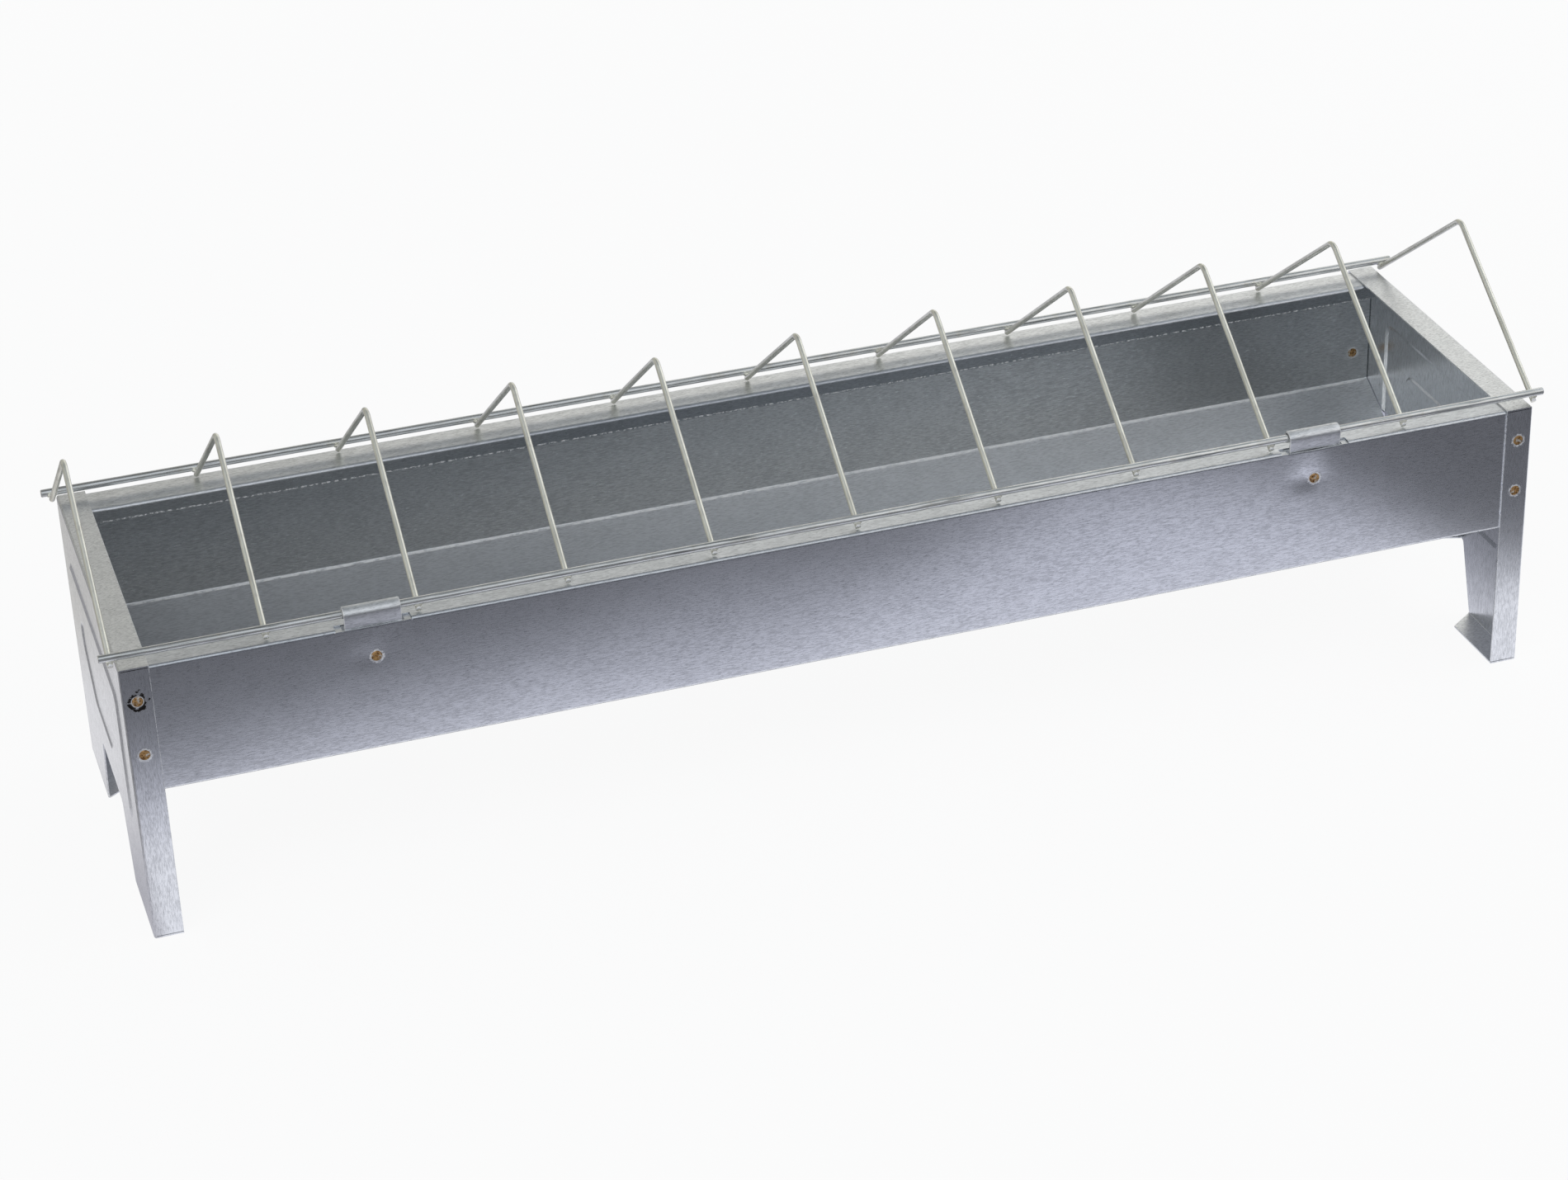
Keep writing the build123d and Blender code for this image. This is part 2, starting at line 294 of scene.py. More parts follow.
def zinc_flakes(tree, place):
    """Noise as large as the flakes in which crushed zinc comes off."""
    return add(tree, "TexNoise", {"Vector": place, "Scale": 1 / FLAKE, "Detail": 3.0,
                                  "Roughness": 0.6})


def near_height(tree, place, z, reach):
    """1 within reach of the height z."""
    off = add(tree, "Math", [add(tree, "SeparateXYZ", [place], "Z"), z], operation="SUBTRACT")
    off = add(tree, "Math", [off], operation="ABSOLUTE")
    return add(tree, "MapRange", [off, reach, reach * 0.6], **SMOOTH)


def pan_wear(tree, place):
    """Bloom on the free edges of the rims' lips, and thinner on the fold between wall and slope."""
    out = add(tree, "Math", [add(tree, "SeparateXYZ", [place], "Y")], operation="ABSOLUTE")
    inside = add(tree, "Math", [out, 80 * MM], operation="LESS_THAN")
    flake = zinc_flakes(tree, place)
    lip = add(tree, "Math", [near_height(tree, place, LIP_EDGE, 0.5 * MM), inside],
              operation="MULTIPLY")
    lip = add(tree, "Math", [lip, add(tree, "MapRange", [flake, 0.42, 0.6], **SMOOTH)],
              operation="MULTIPLY")
    broken = add(tree, "MapRange", [flake, 0.36, 0.56, 0.2, 0.9], **SMOOTH)
    fold = add(tree, "Math", [near_height(tree, place, SHOULDER, 0.45 * MM), broken],
               operation="MULTIPLY")
    return add(tree, "Math", [lip, fold], operation="MAXIMUM")


def painted_pan_shade(tree, place):
    """Painted shade on the pan, as shares and the tints they are multiplied by: darker zinc painted
    where shade falls on the lips under the rims, most in the middle; on the left part of the
    sloping sides; and, a little, on the front rim."""
    x = add(tree, "SeparateXYZ", [place], "X")
    y = add(tree, "SeparateXYZ", [place], "Y")
    z = add(tree, "SeparateXYZ", [place], "Z")
    out = add(tree, "Math", [y], operation="ABSOLUTE")
    inward = add(tree, "MapRange", [out, *LIP_BEND], **SMOOTH)
    above = add(tree, "MapRange", [z, LIP_EDGE - 1.5 * MM, LIP_EDGE - 1 * MM], **SMOOTH)
    left = add(tree, "MapRange", [x, -300 * MM, -60 * MM, 0.2, 1.0], **SMOOTH)
    right = add(tree, "MapRange", [x, 50 * MM, 300 * MM, 1.0, 0.72], **SMOOTH)
    lip = add(tree, "Math", [inward, above], operation="MULTIPLY")
    along = add(tree, "Math", [left, right], operation="MULTIPLY")
    lip = add(tree, "Math", [lip, along], operation="MULTIPLY")
    below = add(tree, "MapRange", [z, SHOULDER + 0.3 * MM, SHOULDER - 0.3 * MM], **SMOOTH)
    leftward = add(tree, "MapRange", [x, 150 * MM, -330 * MM, 0.0, 0.7], **SMOOTH)
    slope = add(tree, "Math", [below, leftward], operation="MULTIPLY")
    top = add(tree, "MapRange", [z, PAN_TOP - 2 * MM, PAN_TOP - 1.4 * MM], **SMOOTH)
    forward = add(tree, "MapRange", [y, -76 * MM, -78 * MM, 0.0, 0.45], **SMOOTH)
    rim = add(tree, "Math", [top, forward], operation="MULTIPLY")
    return (lip, LIP_SHADE), (slope, SLOPE_SHADE), (rim, RIM_SHADE)


def panel_wear(tree, place):
    """Bloom on the sheared edges of the flanges, tabs and lip."""
    x = add(tree, "Math", [add(tree, "SeparateXYZ", [place], "X")], operation="ABSOLUTE")
    edge = add(tree, "Math", [x, PANEL_EDGE + 0.3 * MM], operation="LESS_THAN")
    broken = add(tree, "MapRange", [zinc_flakes(tree, place), 0.3, 0.5, 0.0, 0.5], **SMOOTH)
    return add(tree, "Math", [edge, broken], operation="MULTIPLY")


def clip_wear(tree, place):
    """A thin bloom along the strap's two sheared sides."""
    off = add(tree, "Math", [add(tree, "SeparateXYZ", [place], "X")], operation="ABSOLUTE")
    off = add(tree, "Math", [off, CLIP_X], operation="SUBTRACT")
    off = add(tree, "Math", [off], operation="ABSOLUTE")
    edge = add(tree, "MapRange", [off, CLIP_HALF - 0.5 * MM, CLIP_HALF - 0.2 * MM], **SMOOTH)
    broken = add(tree, "MapRange", [zinc_flakes(tree, place), 0.3, 0.6, 0.1, 0.8], **SMOOTH)
    return add(tree, "Math", [edge, broken], operation="MULTIPLY")


def zinc_wire(name, spacing, turned, dull, clean, pitting, satin, cut=None):
    """Drawn wire with an electroplated zinc coat: satin and pale, with soft drawing streaks along
    its length, a few dull stains, and pits where the coat ran thin. Beyond the distance cut from
    the middle of the trough are the wires' sheared ends, pale and rough.

    spacing is the size of a streak on each axis; turned turns a place into axes along the wire;
    dull and clean are the streaks' colours; pitting is how dark the pits are; satin is the least
    roughness."""
    material, tree, place = new_material(name)
    axes = turned(tree, place) if turned else place
    along = add(tree, "VectorMath", [axes, per(*spacing)], operation="MULTIPLY")
    streak = add(tree, "TexNoise", {"Vector": along, "Scale": 1.0})
    stain = add(tree, "TexNoise", {"Vector": place, "Scale": 1 / STAIN, "Detail": 3.0,
                                   "Roughness": 0.6})
    short = add(tree, "VectorMath", [along, per(3, 1, 1)], operation="MULTIPLY")
    pit = add(tree, "TexNoise", {"Vector": short, "Scale": 1.0, "Detail": 3.0, "Roughness": 0.6})

    streaked = add(tree, "MapRange", [streak, 0.34, 0.58], **SMOOTH)
    colour = add(tree, "Mix", {0: streaked, 6: linear(dull), 7: linear(clean)}, **COLOURS)
    stained = add(tree, "MapRange", [stain, 0.50, 0.74, 0.0, 0.6], **SMOOTH)
    colour = add(tree, "Mix", {0: stained, 6: colour, 7: linear(ZINC_STAIN)}, **COLOURS)
    pitted = add(tree, "MapRange", [pit, 0.56, 0.66, 0.0, pitting], **SMOOTH)
    colour = add(tree, "Mix", {0: pitted, 6: colour, 7: linear(PLATE_PIT)}, **COLOURS)
    rough = add(tree, "MapRange", [streak, 0.3, 0.7, satin + 0.06, satin], **SMOOTH)
    metal = PLATED_METAL
    if cut:
        out = add(tree, "Math", [add(tree, "SeparateXYZ", [place], "Y")], operation="ABSOLUTE")
        end = add(tree, "MapRange", [out, cut, cut + 0.3 * MM], **SMOOTH)
        colour = add(tree, "Mix", {0: end, 6: colour, 7: linear(ZINC_BRIGHT)}, **COLOURS)
        metal = add(tree, "MapRange", [end, 0.0, 1.0, PLATED_METAL, CUT_METAL], **SMOOTH)
    bump = add(tree, "Bump", {"Height": streak, "Distance": 0.005 * MM, "Strength": 1.0})
    shader = add(tree, "BsdfPrincipled", {"Base Color": colour, "Metallic": metal,
                                          "Roughness": rough, "Normal": bump})
    add(tree, "OutputMaterial", {"Surface": shader})
    return material


def along_the_legs(tree, place):
    """X, the distance across a wire's leg, and the distance along it, on both sides of the ridge:
    |Y| and Z turned by the slope of the legs."""
    sine, cosine = math.sin(WIRE_SLOPE), math.cos(WIRE_SLOPE)
    out = add(tree, "Math", [add(tree, "SeparateXYZ", [place], "Y")], operation="ABSOLUTE")
    up = add(tree, "SeparateXYZ", [place], "Z")
    across = add(tree, "Math", [up, cosine], operation="MULTIPLY")
    across = add(tree, "Math", [out, sine, across], operation="MULTIPLY_ADD")
    length = add(tree, "Math", [up, -sine], operation="MULTIPLY")
    length = add(tree, "Math", [out, cosine, length], operation="MULTIPLY_ADD")
    return add(tree, "CombineXYZ", [add(tree, "SeparateXYZ", [place], "X"), across, length])


def weld_metal():
    """Resistance-weld steel under the electrode: heat-tinted straw to brown, with specks of pale
    zinc, coarse and dull."""
    material, tree, place = new_material("heat_tinted_weld_steel")
    grit = add(tree, "TexNoise", {"Vector": place, "Scale": 1 / (1.1 * MM), "Detail": 4.0,
                                  "Roughness": 0.7})
    speck = add(tree, "TexNoise", {"Vector": place, "Scale": 1 / (2.1 * MM)})
    straw = add(tree, "MapRange", [grit, 0.36, 0.58], **SMOOTH)
    colour = add(tree, "Mix", {0: straw, 6: linear("#5C3B22"), 7: linear("#C9A06A")}, **COLOURS)
    pale = add(tree, "MapRange", [speck, 0.56, 0.7], **SMOOTH)
    colour = add(tree, "Mix", {0: pale, 6: colour, 7: linear("#D8D2C6")}, **COLOURS)
    bump = add(tree, "Bump", {"Height": grit, "Distance": 0.35 * MM, "Strength": 0.8})
    shader = add(tree, "BsdfPrincipled", {"Base Color": colour, "Metallic": 0.85,
                                          "Roughness": 0.42, "Normal": bump})
    add(tree, "OutputMaterial", {"Surface": shader})
    return material


# ---------------------------------------------------------------- pieces

def dress(materials):
    """Gives each carried-over node its finish, by the node's name."""
    for name, material in materials.items():
        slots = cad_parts[name].data.materials
        slots.clear()
        slots.append(material)


def weld_marks(name, places, y_out, y_in, material):
    """Spot-weld nuggets. Each is a profile turned about Y: a rough mound in a pit on both faces of
    the stack, and a straight wall between. The height of a face is the pit, a cosine bowl, plus the
    mound, a bell, plus low waves in the angle and the radius."""
    pit_depth, mound_height, mound_width = 0.30, 0.14, 0.45    # mm, mm and a share of the radius
    nugget_radius = 2.74 * MM
    turns, rings = 28, 9
    rng = np.random.default_rng(len(name))
    angle = np.linspace(0, 2 * np.pi, turns, endpoint=False)
    r = np.linspace(0, 1, rings + 1)[1:, None]
    k = np.arange(turns)
    n = (k + 1) % turns
    points, faces = [], []
    for x, z, side in places:
        skins = []
        for y, inward in ((y_out, -1), (y_in, 1)):
            phase = rng.uniform(0, 2 * np.pi, 4)
            rough = 0.05 * np.sin(3 * angle + phase[0]) * r
            rough = rough + 0.04 * np.sin(5 * angle + 6 * r + phase[1])
            rough = (rough + 0.03 * np.sin(2 * angle - 9 * r + phase[2])) * (1 - r ** 4)
            bowl = pit_depth * np.cos(np.pi / 2 * r ** 2)
            mound = mound_height * (np.exp(-(r / mound_width) ** 2) - np.exp(-mound_width ** -2))
            depth = (bowl - mound + rough) * MM
            rim = np.stack([x + nugget_radius * r * np.cos(angle), side * (y + inward * depth),
                            z + nugget_radius * r * np.sin(angle)], -1)
            middle = (pit_depth - mound_height) * MM
            skins.append((np.array([[x, side * (y + inward * middle), z]]), rim))
        base = sum(len(p) for p in points)
        (mid_a, rim_a), (mid_b, rim_b) = skins
        points += [mid_a, rim_a.reshape(-1, 3), mid_b, rim_b.reshape(-1, 3)]
        first, second = base + 1, base + 2 + rings * turns
        made = []
        for start, flip in ((first, False), (second, True)):
            fan = np.stack([np.full(turns, start - 1), start + k, start + n], 1).tolist()
            i = start + np.arange(rings - 1)[:, None] * turns
            grid = np.stack([i + k, i + turns + k, i + turns + n, i + n], -1)
            skin = fan + grid.reshape(-1, 4).tolist()
            made += [f[::-1] for f in skin] if flip else skin
        a, b = first + (rings - 1) * turns, second + (rings - 1) * turns
        made += np.stack([a + k, b + k, b + n, a + n], 1).tolist()
        faces += made if side < 0 else [f[::-1] for f in made]
    make_piece(f"{name}_marks", np.concatenate(points), faces, material, "trough", (name,))


def zinc_webs(name, y_rail, z_rail, side, stations, material):
    """The zinc that closes the corner where each wire crosses a rail: a flat superellipsoid
    (|u|^3 + |v|^3)^(2/3) + w^2 = 1 in each crossing, with u along the rail, v along the wire and w
    from the rail's axis to the wire's."""
    half = np.array([2.5, 2.5, 1.0]) * MM
    sunk = 1.85 * MM                     # from the rail's axis to the middle of a web
    squareness = 0.67                    # the power of the sine and cosine that gives |u|^3 + |v|^3
    along = np.array([0, -side * math.cos(WIRE_SLOPE), math.sin(WIRE_SLOPE)])
    toward = np.array([0, -side * math.sin(WIRE_SLOPE), -math.cos(WIRE_SLOPE)])
    lat = np.linspace(-np.pi / 2, np.pi / 2, 11)[1:-1, None]
    lon = np.linspace(0, 2 * np.pi, 20, endpoint=False)
    u, v = (np.cos(lat) * np.sign(c) * np.abs(c) ** squareness for c in (np.cos(lon), np.sin(lon)))
    w = np.broadcast_to(np.sin(lat), u.shape)
    shell = np.concatenate([[[0, 0, -1]], np.stack([u, v, w], -1).reshape(-1, 3), [[0, 0, 1]]])
    local = shell * half
    rows, turns = u.shape
    k = np.arange(turns)
    n = (k + 1) % turns
    i = 1 + np.arange(rows - 1)[:, None] * turns
    grid = np.stack([i + k, i + n, i + turns + n, i + turns + k], -1).reshape(-1, 4).tolist()
    last = 1 + rows * turns
    caps = np.stack([np.zeros(turns, int), n + 1, k + 1], 1).tolist()
    caps += np.stack([np.full(turns, last), last - turns + k, last - turns + n], 1).tolist()
    points, faces = [], []
    for number, x in enumerate(stations):
        centre = np.array([x, y_rail, z_rail]) + toward * sunk
        points.append(centre + local[:, :1] * [1, 0, 0] + local[:, 1:2] * along
                      + local[:, 2:] * toward)
        made = [[number * (last + 1) + c for c in f] for f in grid + caps]
        faces += made if side > 0 else [f[::-1] for f in made]
    make_piece(name, np.concatenate(points), faces, material, "grille", ())


def hinge_strap(name, material):
    """A clip's strap, a profile in YZ carried along X. The middle line goes straight up inside the
    wall, leans out as a cubic blend, and curls round the rail as an arc with a wider front half.
    The two skins stand half the strap's thickness off it, thin a little toward the sheared sides,
    and carry a low wave, a product of two sines."""
    low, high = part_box(name)
    rail_low, rail_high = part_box("front_rail")
    rail_y, rail_z = (rail_low.y + rail_high.y) / 2, (rail_low.z + rail_high.z) / 2
    half, curl = STRAP / 2, 3.1 * MM
    front, lean = -WALL_IN + half, 0.5 * MM
    straight_top = 151 * MM
    stem = np.linspace(low.z, straight_top, 9)[:-1]
    share = np.linspace(0, 1, 13)[:-1]
    turn = np.radians(np.linspace(180, -70, 61))
    wide = np.where(np.cos(turn) < 0, rail_y - front + lean, curl)
    y = np.concatenate([np.full(len(stem), front), front - lean * share ** 2 * (3 - 2 * share),
                        rail_y + wide * np.cos(turn)])
    z = np.concatenate([stem, straight_top + share * (rail_z - straight_top),
                        rail_z + curl * np.sin(turn)])
    ty, tz = np.gradient(y), np.gradient(z)
    size = np.hypot(ty, tz)
    ny, nz = -tz / size, ty / size
    steps = np.array([0, 0.06, 0.2, 0.5, 4, 8, 12]) * MM
    reach = (high.x - low.x) / 2
    off = np.concatenate([-reach + steps, [0], (reach - steps)[::-1]])
    edge = np.clip((reach - np.abs(off)) / (0.5 * MM), 0, 1)
    thick = half * (1 - 0.35 * (1 - edge) ** 2)
    wave = 0.04 * MM * np.sin(off / (5 * MM) + 1)[:, None] * np.sin(np.arange(len(y)) / 11)
    skins = []
    for sign in (1, -1):
        stand = sign * thick[:, None] + wave
        x = np.broadcast_to((low.x + high.x) / 2 + off[:, None], stand.shape)
        skins.append(np.stack([x, y + ny * stand, z + nz * stand], -1))
    loop = np.concatenate([skins[0], skins[1][:, ::-1]], 1)
    rows, ring = loop.shape[:2]
    k = np.arange(ring)
    n = (k + 1) % ring
    i = np.arange(rows - 1)[:, None] * ring
    faces = np.stack([i + k, i + ring + k, i + ring + n, i + n], -1).reshape(-1, 4).tolist()
    m = np.arange(ring // 2 - 1)
    end = np.stack([m, m + 1, ring - 2 - m, ring - 1 - m], 1)
    faces += end.tolist() + (end[:, ::-1] + (rows - 1) * ring).tolist()
    make_piece(f"{name}_strap", loop.reshape(-1, 3), faces, material, "trough", (name,))


def cut_pan_skin():
    """The pan solid's skin, with its coplanar faces joined and then cut into a grid, which is finer
    round the clips and on the walls and rims."""
    mesh = bpy.data.meshes.new("drawn_pan")
    work = bmesh.new()
    work.from_mesh(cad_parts["trough_pan"].data)
    bmesh.ops.remove_doubles(work, verts=work.verts, dist=0.001 * MM)
    bmesh.ops.dissolve_limit(work, angle_limit=math.radians(0.4), verts=work.verts,
                             edges=work.edges)
    fine = np.arange(-40, 41, 2.5) * MM
    stations = np.concatenate([np.arange(-360, 361, 12) * MM, fine - CLIP_X, fine + CLIP_X])
    rims = np.array([-86, -83, -80, -77.5, 77.5, 80, 83, 86]) * MM
    cuts = [((c, 0, 0), (1, 0, 0)) for c in np.unique(stations.round(5))]
    cuts += [((0, c, 0), (0, 1, 0)) for c in rims]
    cuts += [((0, 0, c), (0, 0, 1)) for c in np.arange(87, 151, 3) * MM]
    for spot, normal in cuts:
        parts = work.verts[:] + work.edges[:] + work.faces[:]
        bmesh.ops.bisect_plane(work, geom=parts, dist=0.001 * MM, plane_co=spot, plane_no=normal)
    work.to_mesh(mesh)
    work.free()
    return mesh


def drawn_pan(material):
    """The folded pan: its solid's skin cut into a grid, with both skins of the two walls moved
    together by a smooth function. Above each clip's weld the front wall leans out to the rim, as a
    power of the height and a bell along, with a small pit at the weld, and between the folds both
    walls carry long shallow waves. The rims sag toward their lips as a square law."""
    wave_height, most_out, sag = 0.10 * MM, 0.7 * MM, 0.6 * MM
    leans = ((-CLIP_X, 0.28 * MM), (CLIP_X, 0.68 * MM))
    mesh = cut_pan_skin()
    flat = np.empty(len(mesh.vertices) * 3)
    mesh.vertices.foreach_get("co", flat)
    points = flat.reshape(-1, 3)
    x, y, z = points.T
    share = np.clip((z - SHOULDER - 1.5 * MM) / (PAN_TOP - SHOULDER - 4 * MM), 0, 1)
    held = np.sin(np.pi * share) * np.clip((362 * MM - np.abs(x)) / (60 * MM), 0, 1)
    wave = np.sin(x / (41 * MM) + 0.7) + 0.7 * np.sin(x / (26 * MM) + 2.1 + np.sign(y))
    out = wave_height * wave * held
    for centre, lean in leans:
        up, across = (z - WELD_Z[0]) / MM, (x - centre) / MM
        climb = np.clip((up + 2) / 18, 0, 1) ** 1.3 * np.exp(-((across + 1) / 12) ** 2)
        pit = 0.6 * lean * np.exp(-(np.hypot((across + 5) / 1.5, up) / 5) ** 2)
        out += np.where(y < 0, lean * climb - pit, 0)
    inboard = np.clip((np.abs(y) - 82 * MM) / (12 * MM), 0, 1) * (z > SHOULDER)
    points[:, 1] += np.sign(y) * np.clip(out, -most_out, most_out) * inboard
    roll = np.clip((86 * MM - np.abs(y)) / (11 * MM), 0, 1.05) * (z > LIP_EDGE - 1 * MM)
    points[:, 2] -= sag * roll ** 2 * np.clip((366 * MM - np.abs(x)) / (12 * MM), 0, 1)
    mesh.vertices.foreach_set("co", points.ravel())
    piece = smooth_object(mesh, material)
    mesh.set_sharp_from_angle(angle=math.radians(32))
    piece.modifiers.new("face_weights", "WEIGHTED_NORMAL").keep_sharp = True
    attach(piece, "trough")
    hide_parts("trough_pan")


front_welds = (WELD_X, sum(WELD_Z) / 2, (WELD_Z[0] - WELD_Z[1]) / 2, -1)
back_welds = (BACK_WELD_X, sum(BACK_WELD_Z) / 2, (BACK_WELD_Z[0] - BACK_WELD_Z[1]) / 2, 1)
clip_welds = (CLIP_X, WELD_Z[0], 0.0, -1)
end_welds = [front_welds, back_welds]
burnt_weld = (-WELD_X, -PANEL_OUT, WELD_Z[0])

# the pan's sheet also gets painted shade on its lips, sloping sides and front rim
pan_zinc = galvanised_sheet("galvanised_pan_sheet", pan_grain, "Y", end_welds + [clip_welds],
                            pan_wear, (0.0, 0.06), painted_shade=painted_pan_shade)
left_zinc = galvanised_sheet("galvanised_left_panel", panel_grain, "X", end_welds, panel_wear,
                             (0.0, 0.08), scorch=burnt_weld)
right_zinc = galvanised_sheet("galvanised_right_panel", panel_grain, "X", end_welds, panel_wear,
                              (0.02, 0.0))
clip_zinc = galvanised_sheet("galvanised_clip_strap", pan_grain, "Y", [], clip_wear, (0.16, 0.16))
rail_zinc = zinc_wire("zinc_plated_rail_rod", (14 * MM, 1 * MM, 1 * MM), None,
                      "#CDCFCD", "#E4E5E4", 0.8, 0.15)
wire_zinc = zinc_wire("zinc_plated_grille_wire", (1.5 * MM, 1.5 * MM, 26 * MM), along_the_legs,
                      "#DAD9CD", "#F2F1E5", 0.12, 0.34, WIRE_END)
weld_steel = weld_metal()

finishes = {
    "left_end_panel": left_zinc,
    "right_end_panel": right_zinc,
    "front_rail": rail_zinc,
    "back_rail": rail_zinc,
}
finishes.update({name: wire_zinc for name in WIRES})
dress(finishes)
drawn_pan(pan_zinc)
for name in ("left_hinge_clip", "right_hinge_clip"):
    hinge_strap(name, clip_zinc)

for end, name in ((-1, "left_spot_welds"), (1, "right_spot_welds")):
    spots = [(end * WELD_X, z, -1) for z in WELD_Z]
    spots += [(end * BACK_WELD_X, z, 1) for z in BACK_WELD_Z]
    weld_marks(name, spots, PANEL_OUT, WALL_IN, weld_steel)
clip_spots = [(end * CLIP_X, WELD_Z[0], -1) for end in (-1, 1)]
weld_marks("clip_spot_welds", clip_spots, WALL_OUT, WALL_IN - 1.55 * MM, weld_steel)

stations = [(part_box(name)[0].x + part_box(name)[1].x) / 2 for name in WIRES]
for side, name in ((-1, "front_rail"), (1, "back_rail")):
    low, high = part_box(name)
    zinc_webs(f"{name}_zinc_webs", (low.y + high.y) / 2, (low.z + high.z) / 2, side, stations,
              wire_zinc)


# ---------------------------------------------------------------- stage, light and camera

def painted_floor_glow(tree, place):
    """What metal sees of the floor, painted light: a painted pool of bright light near the trough,
    painted shade in front of it and a painted shadow under it.
    The paper's front edge is y = 0.25 (x - 0.1)^2 - 0.281, less a bell 0.07 deep at x = 0.25, and
    it steps back by 0.085 at the right end and forward by 0.012 at the left end."""
    x = add(tree, "SeparateXYZ", [place], "X")
    y = add(tree, "SeparateXYZ", [place], "Y")
    off = add(tree, "Math", [x, 0.1], operation="SUBTRACT")
    off = add(tree, "Math", [off, off], operation="MULTIPLY")
    edge = add(tree, "Math", [off, 0.25, -0.281], operation="MULTIPLY_ADD")
    bell = add(tree, "Math", [x, 0.25], operation="SUBTRACT")
    bell = add(tree, "Math", [bell, 0.12], operation="DIVIDE")
    bell = add(tree, "Math", [bell, bell], operation="MULTIPLY")
    bell = add(tree, "Math", [bell, -1.0], operation="MULTIPLY")
    bell = add(tree, "Math", [bell], operation="EXPONENT")
    edge = add(tree, "Math", [bell, -0.07, edge], operation="MULTIPLY_ADD")
    for step in ((0.345, 0.425, 0.0, 0.085), (-0.33, -0.37, 0.0, -0.012)):
        stepped = add(tree, "MapRange", [x, *step], **SMOOTH)
        edge = add(tree, "Math", [edge, stepped], operation="ADD")
    past = add(tree, "Math", [y, edge], operation="SUBTRACT")
    near = add(tree, "MapRange", [past, -0.075, 0.05], **SMOOTH)

    # painted light: pale paper tones near the trough, greyer to the side and toward the back
    close, aside = linear("#D6D8E8"), linear("#C6C5CD")
    for start, end, tone in ((-0.25, -0.15, "#F6F7FF"), (-0.11, 0.08, "#D2D3E3")):
        share = add(tree, "MapRange", [y, start, end], **SMOOTH)
        close = add(tree, "Mix", {0: share, 6: close, 7: linear(tone)}, **COLOURS)
    for axis, start, end, tone in ((y, -0.06, 0.08, "#F0EFF2"), (y, 0.14, 0.26, "#DCDAD7"),
                                   (x, -0.43, -0.47, "#9C9B9E")):
        share = add(tree, "MapRange", [axis, start, end], **SMOOTH)
        aside = add(tree, "Mix", {0: share, 6: aside, 7: linear(tone)}, **COLOURS)
    left_end = add(tree, "MapRange", [x, -0.365, -0.375], **SMOOTH)
    paper = add(tree, "Mix", {0: left_end, 6: close, 7: aside}, **COLOURS)
    # painted shade in front of the trough, painted light near it
    glow = add(tree, "Mix", {0: near, 6: linear("#57585F"), 7: paper}, **COLOURS)

    # painted shadow under the trough, as metal sees it on the floor
    across = add(tree, "Math", [x], operation="ABSOLUTE")
    along = add(tree, "Math", [y], operation="ABSOLUTE")
    across = add(tree, "MapRange", [across, 0.40, 0.30], **SMOOTH)
    along = add(tree, "MapRange", [along, 0.10, 0.05], **SMOOTH)
    under = add(tree, "Math", [across, along], operation="MULTIPLY")
    under = add(tree, "Math", [under, 0.9], operation="MULTIPLY")
    return add(tree, "Mix", {0: under, 6: glow, 7: linear("#54565C")}, **COLOURS)


def floor():
    """A pale floor. The camera sees it almost white with a faint shadow, and white far off; metal
    sees a painted glow on it, a painted pool of light near the trough, painted shade in front and a
    painted shadow under the trough."""
    reach = 6
    mesh = bpy.data.meshes.new("floor")
    corners = [(-reach, -reach, 0), (reach, -reach, 0), (reach, reach, 0), (-reach, reach, 0)]
    mesh.from_pydata(corners, [], [(0, 1, 2, 3)])
    plane = bpy.data.objects.new("floor", mesh)
    bpy.context.scene.collection.objects.link(plane)
    material, tree, place = new_material("pale_floor")
    to_camera = add(tree, "LightPath", out="Is Camera Ray")
    to_metal = add(tree, "LightPath", out="Is Glossy Ray")
    # the painted glow that metal sees: painted light near the trough, painted shade in front and
    # under it
    glow = painted_floor_glow(tree, place)
    white = (1, 1, 1, 1)
    light = add(tree, "Mix", {0: to_camera, 6: glow, 7: white}, **COLOURS)
    colour = add(tree, "Mix", {0: to_camera, 6: linear("#E4E4EA"), 7: linear("#F4F4F5")}, **COLOURS)
    away = add(tree, "VectorMath", [place], "Value", operation="LENGTH")
    own = add(tree, "MapRange", [away, 0.7, 3.5, 0.92, 1.0], **SMOOTH)
    seen = add(tree, "Math", [to_camera, to_metal], operation="ADD")
    share = add(tree, "Math", [seen, own], operation="MULTIPLY")
    paper = add(tree, "BsdfDiffuse", {"Color": colour})
    lit = add(tree, "Emission", {"Color": light, "Strength": 1.0})
    add(tree, "OutputMaterial", {"Surface": add(tree, "MixShader", [share, paper, lit])})
    mesh.materials.append(material)


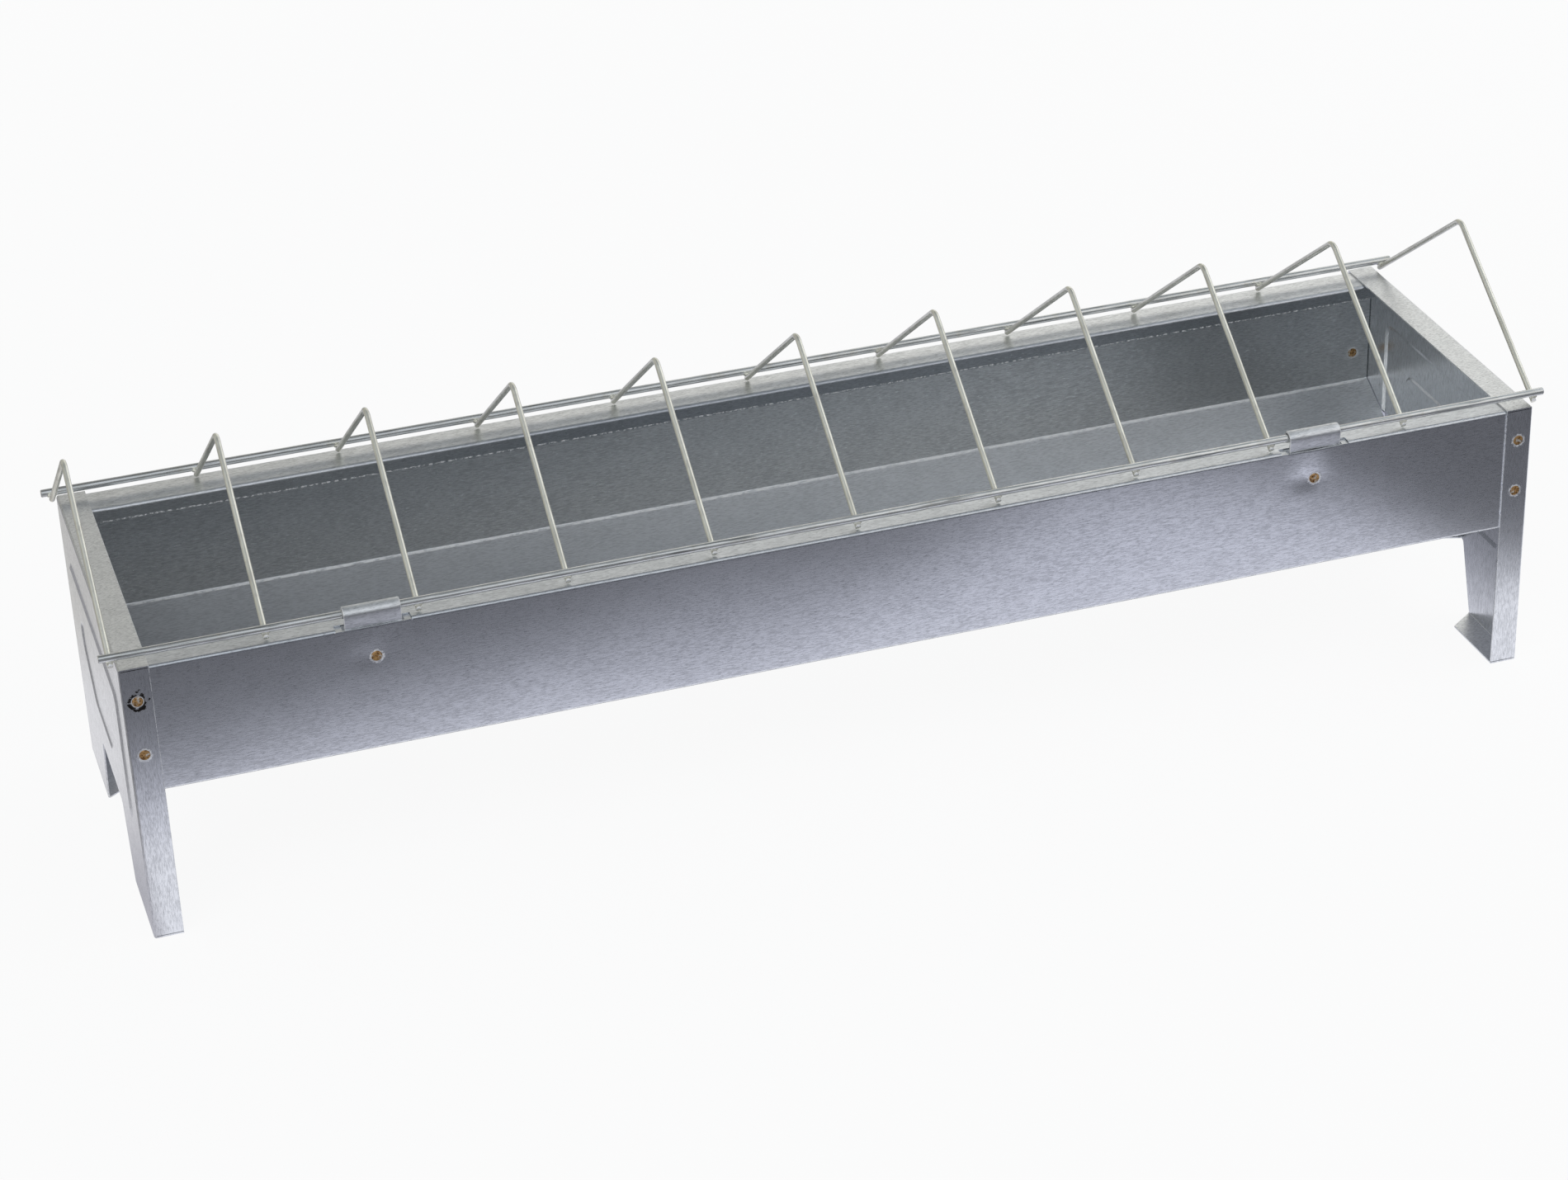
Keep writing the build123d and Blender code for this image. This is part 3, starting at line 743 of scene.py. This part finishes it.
def studio():
    """White to the camera; to everything else a bright wall behind, a dark room in front and a
    grey ceiling. Each part starts as one light level, which fades to the next along X."""
    world = bpy.data.worlds.new("studio")
    bpy.context.scene.world = world
    world.use_nodes = True
    tree = world.node_tree
    tree.nodes.clear()
    place = add(tree, "TexCoord", out="Generated")
    x, y, z = (add(tree, "SeparateXYZ", [place], axis) for axis in "XYZ")
    front_high = (0.60, 0.64, 0.69, 1), ((0.2, 0.36, (1.0, 1.0, 1.0, 1)),
                                         (0.05, -0.2, (1.1, 1.15, 1.2, 1)))
    front_low = (0.13, 0.133, 0.145, 1), ((0.22, 0.38, (0.30, 0.31, 0.33, 1)),)
    back_wall = (0.42, 0.415, 0.385, 1), ((-0.05, 0.4, (1.0, 0.99, 0.94, 1)),
                                          (0.5, 0.75, (0.40, 0.40, 0.39, 1)))
    ceiling = (0.03, 0.033, 0.037, 1), ((0.12, 0.26, (0.240, 0.265, 0.290, 1)),
                                        (0.28, 0.39, (0.33, 0.37, 0.405, 1)),
                                        (0.0, -0.2, (0.27, 0.30, 0.335, 1)))
    levels = []
    for level, fades in (front_high, front_low, back_wall, ceiling):
        for start, end, next_level in fades:
            share = add(tree, "MapRange", [x, start, end], **SMOOTH)
            level = add(tree, "Mix", {0: share, 6: level, 7: next_level}, **COLOURS)
        levels.append(level)
    high, low, wall, above = levels
    rise = add(tree, "MapRange", [z, 0.12, 0.48], **SMOOTH)
    front = add(tree, "Mix", {0: rise, 6: low, 7: high}, **COLOURS)
    rise = add(tree, "MapRange", [z, 0.55, 0.85], **SMOOTH)
    back = add(tree, "Mix", {0: rise, 6: wall, 7: above}, **COLOURS)
    behind = add(tree, "MapRange", [y, -0.5, -0.12], **SMOOTH)
    room = add(tree, "Mix", {0: behind, 6: front, 7: back}, **COLOURS)
    to_camera = add(tree, "LightPath", out="Is Camera Ray")
    colour = add(tree, "Mix", {0: to_camera, 6: room, 7: (1, 1, 1, 1)}, **COLOURS)
    background = add(tree, "Background", {"Color": colour, "Strength": 1.0})
    add(tree, "OutputWorld", {"Surface": background})


def lamp(name, place, size, power, colour):
    """A square soft box that faces the trough."""
    target = Vector((0, 0, 0.05))
    data = bpy.data.lights.new(name, "AREA")
    data.shape, data.size, data.energy, data.color = "SQUARE", size, power, colour
    light = bpy.data.objects.new(name, data)
    light.location = place
    light.rotation_euler = (Vector(place) - target).to_track_quat("Z", "Y").to_euler()
    bpy.context.scene.collection.objects.link(light)


def camera():
    """A long lens from the front left, 29 degrees above the floor, rolled by 2 degrees."""
    azimuth, elevation, roll = -0.2992, 0.5120, -0.0381      # radians
    aim, distance = Vector((-11.955, 0, 72.984)) * MM, 2.02038
    back = Vector((math.sin(azimuth) * math.cos(elevation),
                   -math.cos(azimuth) * math.cos(elevation), math.sin(elevation)))
    right = Vector((math.cos(azimuth), math.sin(azimuth), 0))
    up = back.cross(right)
    across = right * math.cos(roll) + up * math.sin(roll)
    over = up * math.cos(roll) - right * math.sin(roll)
    data = bpy.data.cameras.new("camera")
    data.sensor_width, data.lens = 36, 87.16
    data.clip_start, data.clip_end = 0.05, 50
    view = bpy.data.objects.new("camera", data)
    turn = Matrix((across, over, back)).transposed().to_4x4()
    view.matrix_world = Matrix.Translation(aim + back * distance) @ turn
    bpy.context.scene.collection.objects.link(view)
    bpy.context.scene.camera = view


floor()
studio()
lamp("soft_box_left", (-2.5, -1.9, 1.5), 2.6, 17, (1.0, 0.99, 0.97))
lamp("soft_box_right", (2.3, 0.2, 1.6), 2.2, 14, (0.97, 0.98, 1.0))
camera()
bpy.context.scene.view_settings.view_transform = "Standard"
